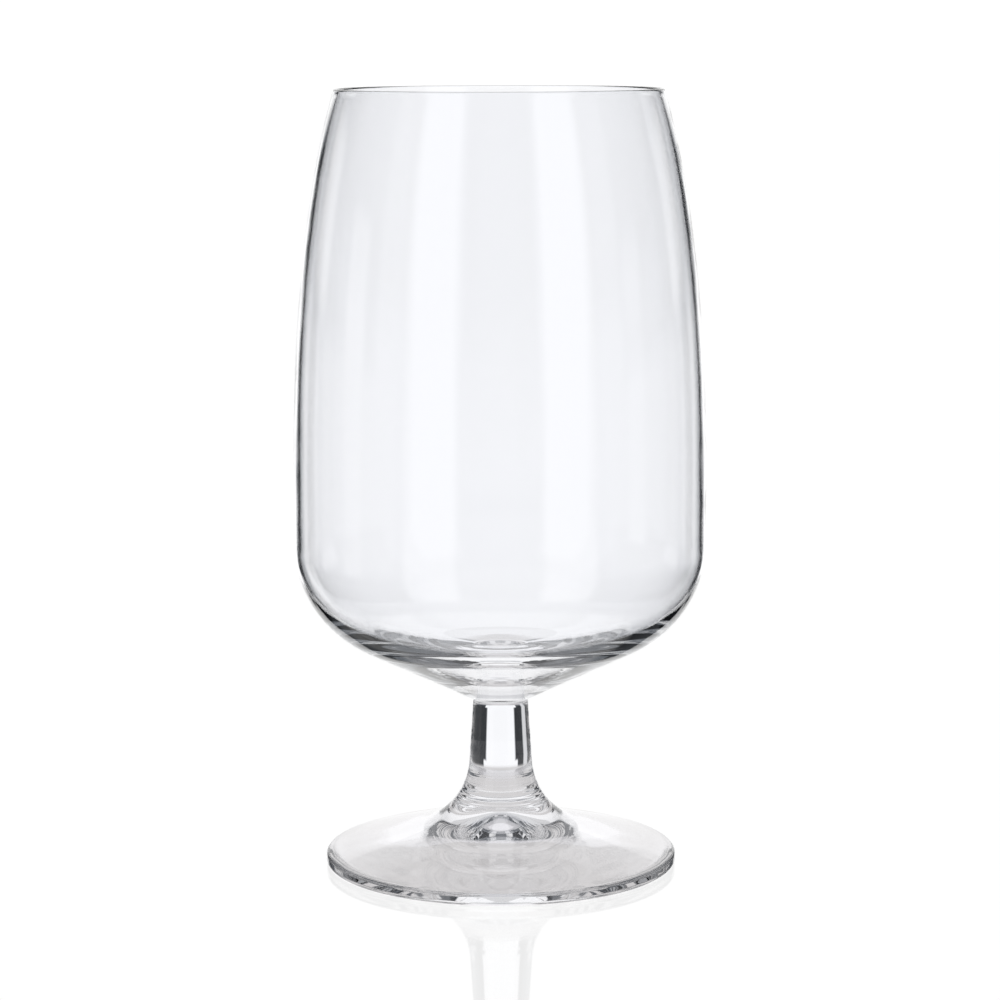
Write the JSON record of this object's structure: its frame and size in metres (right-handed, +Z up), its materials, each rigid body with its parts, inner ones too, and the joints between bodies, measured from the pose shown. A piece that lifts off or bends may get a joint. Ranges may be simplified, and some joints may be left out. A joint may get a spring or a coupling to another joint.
{
  "type": "tulip beer glass",
  "caption": "Clear stemmed beer glass: a deep bowl that draws in towards a fire-polished rim, on a short flared stem and a round foot.",
  "frame": {"origin": "on the table, under the middle of the foot", "axes": "+Z up along the axis of the glass, from the foot to the rim; X and Y are alike"},
  "size_m": [0.0874, 0.0874, 0.165],
  "materials": {
    "bowl_glass": "clear fire-polished soda-lime glass",
    "stem_glass": "clear drawn soda-lime glass",
    "foot_glass": "clear pressed soda-lime glass"
  },
  "bodies": {
    "root": {"bowl": "bowl_glass", "stem": "stem_glass", "foot": "foot_glass"}
  },
  "joints": []
}
